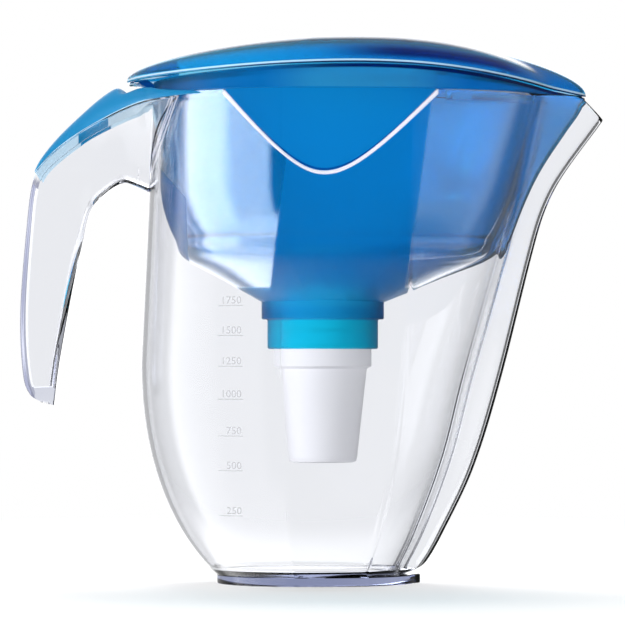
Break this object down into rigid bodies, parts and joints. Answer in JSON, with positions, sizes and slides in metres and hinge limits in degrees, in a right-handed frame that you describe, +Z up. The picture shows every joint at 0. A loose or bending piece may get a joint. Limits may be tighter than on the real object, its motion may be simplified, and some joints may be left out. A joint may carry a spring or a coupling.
{
  "type": "water filter pitcher",
  "caption": "Clear pitcher with a pouring keel and open-ended handle, a hanging funnel with a filter cartridge, and a domed flip lid.",
  "frame": {"origin": "bottom centre of the bounding box, under the middle of the foot", "axes": "+X towards the pouring lip, +Z up, +Y to the pitcher's left side"},
  "size_m": [0.2765, 0.142, 0.2591],
  "materials": {
    "clear_plastic": "clear, polished",
    "blue_cover": "gloss",
    "blue_funnel": "translucent, satin gloss",
    "blue_lid": "translucent, polished",
    "white_plastic": "satin",
    "seal_rubber": "matte",
    "screen_mesh": "fine mesh",
    "filter_granules": "packed granules"
  },
  "bodies": {
    "jug": {"jug_body": "clear_plastic", "handle_grip": "clear_plastic", "handle_cover": "blue_cover"},
    "funnel": {"funnel": "blue_funnel", "hinge_pin": "blue_cover"},
    "lid": {"lid": "blue_lid"},
    "cartridge": {"cartridge_cup": "white_plastic", "cartridge_cap": "white_plastic", "cartridge_seal": "seal_rubber", "inlet_screen": "screen_mesh", "filter_media": "filter_granules", "outlet_screen": "screen_mesh"}
  },
  "joints": [
    {"name": "funnel_lift", "type": "slide", "parent": "jug", "child": "funnel", "axis": [0, 0, 1], "range_m": [0, 0.19]},
    {"name": "lid_flip", "type": "hinge", "parent": "funnel", "child": "lid", "pos_m": [-0.0829, 0, 0.23887], "axis": [0, -1, 0], "range_deg": [0, 100]},
    {"name": "cartridge_lift", "type": "slide", "parent": "funnel", "child": "cartridge", "axis": [0, 0, 1], "range_m": [0, 0.09]}
  ]
}
